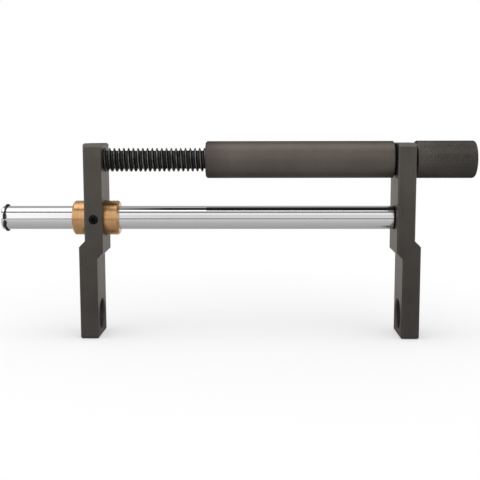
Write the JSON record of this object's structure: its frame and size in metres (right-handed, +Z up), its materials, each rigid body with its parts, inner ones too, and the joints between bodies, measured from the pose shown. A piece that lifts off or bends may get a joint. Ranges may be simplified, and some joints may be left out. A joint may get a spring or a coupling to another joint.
{
  "type": "brake caliper piston tool",
  "caption": "Screw spreader with a fixed and a sliding arm on a guide rod, moved by a knurled knob, a long nut sleeve and a spindle, for pressing brake caliper pistons.",
  "frame": {"origin": "middle of the tool's length and depth, on the surface that its two feet stand on", "axes": "+X along the guide rod from its free end towards the knob, +Y from the front face with the set screw to the back, +Z up from the feet to the spindle"},
  "size_m": [0.398, 0.04, 0.1657],
  "materials": {
    "arm_steel": "dark burnished",
    "sleeve_steel": "dark burnished, turned",
    "knob_steel": "dark burnished, knurled",
    "black_steel": "black oxide",
    "bright_steel": "ground",
    "rod_chrome": "hard chromed and polished",
    "bronze": "turned bronze"
  },
  "bodies": {
    "fixed_arm": {"right_arm": "arm_steel", "guide_rod": "rod_chrome", "rod_circlip": "black_steel", "rod_end_screw": "black_steel", "journal_bush": "bronze", "inner_thrust_washer": "black_steel", "outer_thrust_washer": "black_steel"},
    "sliding_arm": {"left_arm": "arm_steel", "guide_bush": "bronze", "bush_set_screw": "black_steel", "spindle": "black_steel", "spindle_end_screw": "black_steel", "spindle_pin": "bright_steel"},
    "drive": {"drive_sleeve": "sleeve_steel", "spindle_nut": "bronze", "nut_pins": "bright_steel", "knob": "knob_steel", "knob_key": "bright_steel", "knob_screw": "black_steel", "knob_washer": "bright_steel"}
  },
  "joints": [
    {"name": "drive_turn", "type": "hinge", "parent": "fixed_arm", "child": "drive", "pos_m": [0.13295, 0, 0.15], "axis": [1, 0, 0], "range_deg": [-7200, 5040]},
    {"name": "arm_slide", "type": "slide", "parent": "fixed_arm", "child": "sliding_arm", "axis": [1, 0, 0], "range_m": [-0.0561, 0.0801]}
  ],
  "couplings": [
    {"joint": "arm_slide", "follows": "drive_turn", "m_per_rad": -0.00063662}
  ]
}
